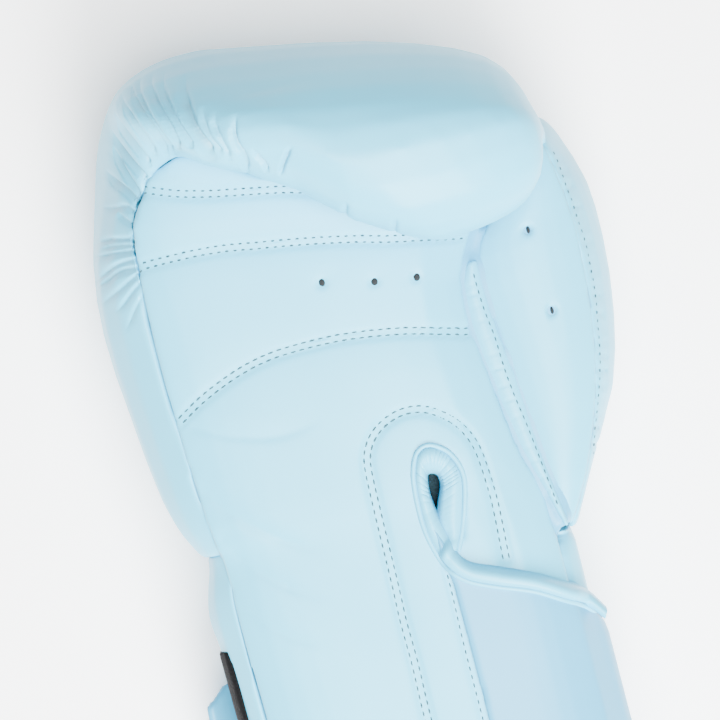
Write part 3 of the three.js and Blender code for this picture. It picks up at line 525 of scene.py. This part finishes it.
def pleat(piece, pleats, low):
    """Presses each valley in, lifts a low crest beside it and marks how deep it is, for painted shade in the
    crease.
    """
    places, normals = read_points(piece)
    press = np.zeros(len(places))
    lift = np.zeros(len(places))
    for depth, width, *line in pleats:
        distance, side, share = line_field(places[:, :2], smooth_line(line, 2.0))
        spread = np.where(side > 0, width * STEEP_SIDE, width * GENTLE_SIDE)
        run_out = np.clip(share / RUN_OUT, 0, 1) ** 1.2
        crest = np.exp(-((distance - width * 1.6) / width) ** 2) * (side < 0)
        press = np.maximum(press, depth * run_out * np.exp(-distance / spread))
        lift = np.maximum(lift, CREST * depth * run_out * crest)
    facing = np.clip((normals[:, 2] + SURFACE_TURN) / SURFACE_TURN, 0, 1) * (places[:, 2] > low)
    press *= facing
    lift = np.where(press > 0.4, 0, lift) * facing
    write_points(piece, places - normals * (press - lift)[:, None])
    # Painted shade: the deeper part of each fold darkens the leather's colour.
    paint_crease_shade(piece, np.clip(press - CREASE_FROM, 0, CREASE_MOST) * CREASE_DARK)
    return press


# %% [markdown]
# The lip of the roll stands back over the gathered seam on the little-finger side, so that the crescent
# panel shows under it. Only the lip's points move, and the outside of the fist stays.

# %% Lip of the roll
LIP_BACK = (
    # across the glove, how far back, in mm
    (-90, 0), (-42, 0), (-33, 2.5), (-24, 5.4), (-10, 5.4), (-2, 2.6), (6, 0), (90, 0),
)
LIP_LEVEL = 84
places, _ = read_points(shell)
back = np.interp(places[:, 0], *np.array(LIP_BACK).T)
back *= np.clip((places[:, 2] - LIP_LEVEL) / 6, 0, 1) * np.clip((122 - places[:, 1]) / 26, 0, 1)
places[:, 1] += back
write_points(shell, places)
print("lip back mm", round(float(back.max()), 2))

# %% Pleats pressed in
pleat_lines = [smooth_line(line, 4.0) for _, _, *line in PLEATS]
for reach in (5.0, 2.6):
    refine(shell, pleat_lines, reach, PLEAT_FLOOR)
pressed = pleat(shell, PLEATS, PLEAT_FLOOR)
print("deepest pleat mm", round(float(pressed.max()), 2), "faces", len(shell.data.polygons))

# %% [markdown]
# The palm is cut from several panels, felled together with two rows of stitches each, so it swells a
# little between the seams. The rows press the leather down, and the panels between them stand proud.

# %% Seams pressed into the palm
FINGER_SEAM = ((-60, 103), (-50, 99), (-40, 96.2), (-29, 94), (-14, 91), (0, 87))
KNUCKLE_SEAM = ((-69, 77.5), (-66, 78.3), (-58, 78.3), (-47, 78), (-37, 77), (-29, 75.6), (-19, 74), (-8, 72),
                (6, 69), (15, 66.6), (28, 64), (38, 62), (43, 61.5))
HEART_SEAM = ((-67.5, 25), (-59, 30), (-50, 34), (-41, 37), (-32, 38.7), (-22, 39.2), (-11, 39), (-1, 38),
              (13, 35.6), (25, 32.4), (34, 30))
SLOT_SEAM = ((-12, -140), (-12, -92), (-11.6, -73), (-11.8, -58), (-11.4, -45), (-11, -21), (-10.4, -5),
             (-8.6, 1), (-5, 5.4), (0, 8.4), (6, 9.8), (12, 9), (17, 6.2), (22, 1.6), (25.6, -5), (27, -12),
             (27.6, -22), (27.6, -30), (26.6, -47))
ROW_APART = 2.1
seams = {name: smooth_line(line) for name, line in
         (("finger", FINGER_SEAM), ("knuckle", KNUCKLE_SEAM), ("heart", HEART_SEAM), ("slot", SLOT_SEAM))}


def press_rows(piece, lines, depth, width, low=40, swell=0.0, reach=5.0):
    """Presses narrow furrows along the lines, and swells the leather away from them."""
    places, normals = read_points(piece)
    near = np.full(len(places), np.inf)
    for line in lines:
        near = np.minimum(near, line_field(places[:, :2], line)[0])
    up = np.clip(normals[:, 2], 0, 1) * (places[:, 2] > low)
    shift = swell * (1 - np.exp(-near / reach)) - depth * np.exp(-(near / width) ** 2)
    write_points(piece, places + normals * (shift * up)[:, None])
    return near


palm_rows = []
for name, line in seams.items():
    palm_rows += [offset_line(line, ROW_APART / 2), offset_line(line, -ROW_APART / 2)]
press_rows(palm, palm_rows, depth=0.55, width=0.9, swell=0.6)
print("palm faces", len(palm.data.polygons))


# %% [markdown]
# Thread is modelled as short real stitches, each a small capsule half sunk in its furrow.
# A row repeats hundreds of them, so each has only two dozen faces.

# %% Stitches
def surface_tree(pieces):
    """The pieces' surfaces, to find the leather's level and tilt under a point."""
    points, faces = [], []
    for piece in pieces:
        start = len(points)
        points += [v.co.copy() for v in piece.data.vertices]
        faces += [[start + i for i in p.vertices] for p in piece.data.polygons]
    return BVHTree.FromPolygons(points, faces)


def on_leather(tree, x, y, top=160):
    """The first point of the leather below a place given in mm, and its normal."""
    hit, normal, _, _ = tree.ray_cast(Vector((x * MM, y * MM, top * MM)), Vector((0, 0, -1)))
    return hit, normal


def sew(name, tree, rows, pitch, length, width, material, top=160):
    """A piece of thread along rows of stitches."""
    thread = bmesh.new()
    for row in rows:
        row = smooth_line(row, pitch)
        for a, b in zip(row[:-1], row[1:]):
            middle = (a + b) / 2
            along = Vector((b[0] - a[0], b[1] - a[1], 0)).normalized()
            hit, normal = on_leather(tree, middle[0], middle[1], top)
            if hit is None or normal.z < 0.15:
                continue
            along = (along - normal * along.dot(normal)).normalized()
            turn = Matrix((along, normal.cross(along), normal)).transposed().to_4x4()
            size = Matrix.Diagonal((length / 2 * MM, width / 2 * MM, width / 2 * MM, 1))
            place = Matrix.Translation(hit - normal * (0.05 * MM)) @ turn @ size
            bmesh.ops.create_uvsphere(thread, u_segments=6, v_segments=4, radius=1, matrix=place)
    mesh = bpy.data.meshes.new(name)
    thread.to_mesh(mesh)
    thread.free()
    piece = link_mesh(mesh, name, material)
    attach(piece, "root")
    print(name, "faces", len(mesh.polygons))
    return piece


# A ray looks down for the leather from here: under the roll's lip, over the thumb, or over the strap
UNDER_LIP = 95
OVER_THUMB = 100
OVER_STRAP = 110
palm_tree = surface_tree([palm])
long_rows = [offset_line(seams[n], s * ROW_APART / 2) for n in ("heart", "slot") for s in (1, -1)]
short_rows = [offset_line(seams[n], s * ROW_APART / 2) for n in ("finger", "knuckle") for s in (1, -1)]
sew("palm_stitches", palm_tree, short_rows, 2.7, 1.5, 0.7, thread_painted_shade, top=UNDER_LIP)
sew("slot_stitches", palm_tree, long_rows, 2.9, 2.1, 0.65, thread_painted_shade, top=UNDER_LIP)

STRIP_STITCH = ((40, 49), (40, 45), (40.4, 36), (41.6, 26), (42, 16), (43, 6), (44.8, -6), (46.4, -20),
                (48, -34))
THUMB_STITCH = ((74.6, 82), (75.6, 77), (76, 69), (76.8, 63), (77, 57), (77.6, 51), (77.4, 43), (76.6, 32),
                (75, 23), (72.6, 10), (68.8, -2), (64.8, -13), (62.6, -21))
thumb_tree = surface_tree([thumb, thumb_face, strip])
thumb_row = offset_line(smooth_line(THUMB_STITCH), 1.6)
sew("strip_stitches", thumb_tree, [STRIP_STITCH], 2.8, 1.9, 0.6, thread_painted_shade, top=OVER_THUMB)
sew("thumb_stitches", thumb_tree, [thumb_row], 2.8, 1.3, 0.55, thread_painted_shade, top=OVER_THUMB)


# %% [markdown]
# Where a seam is eased, the leather beside it puckers in short tucks across the seam. The strip has them
# all along its left edge, and the thumb has them along its outer seam. The heel has a few long soft folds.

# %% Tucks across the seams and folds of the heel
def tucks(line, spacing, far, near, depth, width):
    """Short valleys across a line, from far to near, both in mm to its left, at uneven steps."""
    outer = offset_line(smooth_line(line), far)
    inner = offset_line(smooth_line(line), near)
    made = []
    place = spacing
    while place < len(outer) - 2:
        i = int(place)
        made.append((depth * (0.7 + 0.3 * math.sin(place)), width, tuple(outer[i][:2]), tuple(inner[i][:2])))
        place += spacing * (1 + 0.35 * math.sin(place * 2.3))
    return made


HEEL_FOLDS = (
    # depth and width in mm, then the fold's line
    (0.7, 3.2, (-30, -30), (-44, -22), (-58, -10), (-66, 0)),
    (0.6, 3.0, (-34, -46), (-46, -38), (-57, -28), (-64, -17)),
    (0.5, 3.4, (-20, 14), (-36, 12), (-52, 16), (-64, 22)),
    (0.5, 3.0, (-38, -60), (-50, -54), (-60, -44), (-65, -34)),
)
PALM_FLOOR = 40
strip_tucks = tucks(STRIP_STITCH, spacing=4.3, far=-4.8, near=-0.8, depth=0.4, width=0.6)
thumb_tucks = tucks(THUMB_STITCH, spacing=5.0, far=5.5, near=0.8, depth=0.7, width=1.1)
pleat(palm, HEEL_FOLDS, PALM_FLOOR)
pleat(strip, strip_tucks, PALM_FLOOR)
pleat(thumb, thumb_tucks, PALM_FLOOR)
print("tucks", len(strip_tucks), len(thumb_tucks), "heel folds", len(HEEL_FOLDS))


# %% [markdown]
# Piping is a cord wrapped in leather and caught in a seam. It is swept here from a small grid that is
# rolled round the line and closed along its join, so both ends and the join are shut.

# %% Piping
def roll_grid(name, rows, columns, shape, material, close=False):
    """A grid moved point by point on to shape(u, v), with u along and v across."""
    sheet = bmesh.new()
    bmesh.ops.create_grid(sheet, x_segments=rows, y_segments=columns, size=0.5)
    for v in sheet.verts:
        v.co = shape(v.co.x + 0.5, v.co.y + 0.5)
    bmesh.ops.remove_doubles(sheet, verts=sheet.verts, dist=0.01 * MM)
    if close:
        bmesh.ops.holes_fill(sheet, edges=[e for e in sheet.edges if e.is_boundary], sides=0)
    bmesh.ops.recalc_face_normals(sheet, faces=sheet.faces)
    mesh = bpy.data.meshes.new(name)
    sheet.to_mesh(mesh)
    sheet.free()
    piece = link_mesh(mesh, name, material)
    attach(piece, "root")
    return piece


def levels(tree, line, top=160, runs=6):
    """The leather's level under each point of a line, evened out along it, in mm."""
    found = []
    for x, y in line[:, :2]:
        hit, _ = on_leather(tree, x, y, top)
        found.append(hit.z / MM if hit else (found[-1] if found else 86.0))
    level = np.array(found)
    for _ in range(runs):
        level[1:-1] = (level[:-2] + 2 * level[1:-1] + level[2:]) / 4
    return level


def piping(name, line, level, radius, material):
    """A leather-covered cord along a line at these levels, all in mm."""
    path = np.column_stack([line[:, 0], line[:, 1], level])
    last = len(path) - 1

    def shape(u, v):
        place = min(max(u * last, 0), last)
        i = min(int(place), last - 1)
        p = path[i] + (path[i + 1] - path[i]) * (place - i)
        along = path[min(i + 1, last)] - path[max(i - 1, 0)]
        side = np.array([along[1], -along[0], 0])
        side /= np.linalg.norm(side)
        angle = 2 * math.pi * v
        p = p + side * radius * math.cos(angle) + np.array([0, 0, 1]) * radius * math.sin(angle)
        return Vector(p) * MM

    return roll_grid(name, last, 10, shape, material, close=True)


# %% [markdown]
# The slot's edge and the upper edge of the strap are one line, so the binding and the piping run along
# both. Point by point, one row lies outside at the piping, and the other inside at the folded edge.

# %% Lines of the slot and the strap's upper edge
SLOT_PIPE = ((10.8, -39.5), (13.8, -33.0), (16.1, -26.8), (18.2, -19.3), (18.6, -15.0), (17.7, -11.0),
             (15.5, -7.2), (11.5, -4.4), (8.6, -4.5), (6.4, -6.8), (4.4, -12.7), (3.6, -21.3), (3.8, -30.3),
             (5.5, -38.4), (7.9, -44.1), (12.9, -49.2), (21.4, -53.3), (32.9, -57.9), (41.2, -62.9),
             (49.3, -68.3), (54.6, -74.4))
SLOT_INNER = ((9.6, -38.5), (8.6, -33.5), (7.9, -28.0), (9.8, -22.7), (12.0, -17.5), (12.0, -14.0),
              (11.0, -12.6), (9.6, -12.1), (8.3, -12.2), (7.4, -13.7), (6.9, -18.4), (7.3, -22.9),
              (8.2, -27.0), (9.9, -33.2), (10.8, -38.8), (14.0, -43.8), (22.8, -47.9), (35.0, -53.6),
              (45.1, -60.1), (50.8, -65.2), (54.9, -71.6))
STRAP_FROM = 14
print("points", len(SLOT_PIPE), "of which on the strap", len(SLOT_INNER) - STRAP_FROM)

# %% [markdown]
# The strap's upper edge is drawn in a little, so that the folded binding covers it.

# %% Strap's edge under the binding
TUCK_REACH = 9
TUCK_LEVEL = 55
TUCK_ACROSS = 3.2
TUCK_ALONG = 0.8
edge_line = smooth_line(SLOT_INNER[STRAP_FROM:])
places, _ = read_points(strap)
distance, _, _ = line_field(places[:, :2], edge_line)
tuck_in = np.clip(1 - distance / TUCK_REACH, 0, 1) * (places[:, 2] > TUCK_LEVEL)
places[:, 1] -= TUCK_ACROSS * tuck_in
places[:, 0] -= TUCK_ALONG * tuck_in
write_points(strap, places)
print("strap points drawn in", int((tuck_in > 0).sum()))

# %% Piping laid along the slot and the strap
PIPE_APART = 1.1
PIPE_RADIUS = 0.85
PIPE_PROUD = 0.35
carry_tree = surface_tree([palm, strap])
pipe_line = offset_line(smooth_line(SLOT_PIPE, 1.0), -PIPE_APART)
pipe_level = levels(carry_tree, pipe_line, top=OVER_STRAP)
pipe = piping("slot_and_strap_piping", pipe_line, pipe_level + PIPE_PROUD, PIPE_RADIUS, ice_leather)
print("piping mm", len(pipe_line) - 1)

# %% [markdown]
# The raw edge of the slot is bound with a strip of thin leather, turned over the edge and gathered
# round the tight top. The same strip goes on as the folded upper edge of the strap.
# Its section is a low arch between the piping and the edge, and it dips in at the slot.

# %% Turned binding of the slot and the strap
BAND_RISE = 1.7
BAND_DIP = 4.0


def matched(points, share):
    """The point at a share of the way through a row of points."""
    place = share * (len(points) - 1)
    i = min(int(place), len(points) - 2)
    t = place - i
    a, b, c, d = (np.array(points[min(max(k, 0), len(points) - 1)], float) for k in (i - 1, i, i + 1, i + 2))
    return 0.5 * (2 * b + (c - a) * t + (2 * a - 5 * b + 4 * c - d) * t ** 2
                  + (3 * b - a - 3 * c + d) * t ** 3)


BAND_ROWS = 420
GATHER_PLACE = 0.36
band_shares = np.linspace(0, 1, BAND_ROWS + 1)
outer_line = np.array([matched(SLOT_PIPE, s) for s in band_shares])
inner_line = np.array([matched(SLOT_INNER, s) for s in band_shares])
outer_level = levels(carry_tree, outer_line, top=OVER_STRAP, runs=12)
inner_level = levels(palm_tree, inner_line, top=OVER_STRAP, runs=30)
# The folded edge stays within these heights of the piping's side, also where it hangs over the slot
inner_level = np.clip(inner_level, outer_level - 6, outer_level + 0.3)


def band_shape(u, v):
    """The binding's arch, with puckers where the strip turns tightly round the slot."""
    place = u * (len(band_shares) - 1)
    i = min(int(round(place)), len(band_shares) - 1)
    across = outer_line[i] + (inner_line[i] - outer_line[i]) * v
    level = outer_level[i] + (inner_level[i] - outer_level[i]) * v ** 3
    arch = BAND_RISE * math.sin(math.pi * min(1, v * 1.15) ** 0.8)
    gathered = math.exp(-((u - GATHER_PLACE) / 0.14) ** 2)
    fold = 1 - abs(math.sin(u * 165 + 1.2 * math.sin(u * 61) + 0.8 * v))
    pressed_in = 1.1 * gathered * fold ** 2 * min(1, v * 2.2)
    dip = BAND_DIP * max(0, v - 0.8) / 0.2
    return Vector((across[0], across[1], level + arch - pressed_in - dip)) * MM


band = roll_grid("slot_binding_leather", BAND_ROWS, 14, band_shape, ice_leather)
band.modifiers.new("thickness", "SOLIDIFY").thickness = -0.8 * MM
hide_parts("slot_binding")
BAND_ROW_IN = 0.55
band_row = offset_line(smooth_line(SLOT_PIPE, 1.0), BAND_ROW_IN)[8:-3]
sew("binding_stitches", surface_tree([band]), [band_row], 2.5, 1.5, 0.4, thread_painted_shade, top=OVER_STRAP)

# %% [markdown]
# The root of the strap is sewn to the palm with one row, beside the seam that closes it.

# %% Strap root stitches
ROOT_ROW = ((6.3, -43), (6.2, -54), (5.8, -67), (5.7, -81), (5.7, -97), (5.7, -126))
ROOT_SEAM = ((8.8, -48.6), (9, -55), (9.2, -62), (9.3, -97), (9.3, -128))
press_rows(palm, [smooth_line(ROOT_ROW), smooth_line(ROOT_SEAM)], depth=0.5, width=0.9)
root_tree = surface_tree([palm, strap])
sew("strap_root_stitches", root_tree, [ROOT_ROW], 2.9, 1.9, 0.6, thread_painted_shade, top=OVER_STRAP)

# %% [markdown]
# Small holes are punched through the palm and the thumb so that the hand can breathe.
# Each is a dark dished disc of painted shade in a dimple of the leather, which is what shows of a hole this
# small.

# %% Punched vents
VENT_PLACES = ((-10, 58), (7, 54), (21, 52))
THUMB_VENT_PLACES = ((61, 58), (62, 30))
VENT_RADIUS = 1.35
DIMPLE_DEPTH = 0.7
VENT_SUNK = 0.25
# Painted shade: a dark disc stands for the shadowed inside of each hole.
vent_dark, vent_tree = new_material("shadow_in_punched_hole")
dark_skin = add_node(vent_tree, "ShaderNodeBsdfPrincipled", None, Base_Color=linear("#0E1315"), Roughness=0.9)
add_node(vent_tree, "ShaderNodeOutputMaterial", None, Surface=dark_skin.outputs["BSDF"])


def punch(piece, places):
    """Dimples the leather at each vent."""
    points, normals = read_points(piece)
    for x, y in places:
        distance = np.hypot(points[:, 0] - x, points[:, 1] - y)
        depth = DIMPLE_DEPTH * np.exp(-(distance / (VENT_RADIUS * 1.15)) ** 4)
        points -= normals * (depth * np.clip(normals[:, 2], 0, 1))[:, None]
    write_points(piece, points)


punch(palm, VENT_PLACES)
punch(thumb_face, THUMB_VENT_PLACES)
holes = bmesh.new()
for tree, places in ((surface_tree([palm]), VENT_PLACES), (surface_tree([thumb_face]), THUMB_VENT_PLACES)):
    for x, y in places:
        rim, normal = on_leather(tree, x + VENT_RADIUS, y, top=OVER_THUMB)
        far_rim, _ = on_leather(tree, x - VENT_RADIUS, y, top=OVER_THUMB)
        turn = normal.to_track_quat("Z", "Y").to_matrix().to_4x4()
        size = Matrix.Diagonal((VENT_RADIUS * MM, VENT_RADIUS * MM, 0.5 * MM, 1))
        level = (rim.z + far_rim.z) / 2 - VENT_SUNK * MM
        bmesh.ops.create_uvsphere(holes, u_segments=16, v_segments=8, radius=1,
                                  matrix=Matrix.Translation((x * MM, y * MM, level)) @ turn @ size)
hole_mesh = bpy.data.meshes.new("vent_holes")
holes.to_mesh(hole_mesh)
holes.free()
vent_holes = link_mesh(hole_mesh, "vent_holes", vent_dark)
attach(vent_holes, "root")
print("vents", len(VENT_PLACES) + len(THUMB_VENT_PLACES))

# %% [markdown]
# The lining is thin and plain and shows only in the slot, so it keeps its solid and gets its cloth here.

# %% Cloth on the lining
lining = cad_node("cuff_lining")
for place in lining.material_slots:
    place.material = slate_lining
print("lining faces", len(lining.data.polygons))
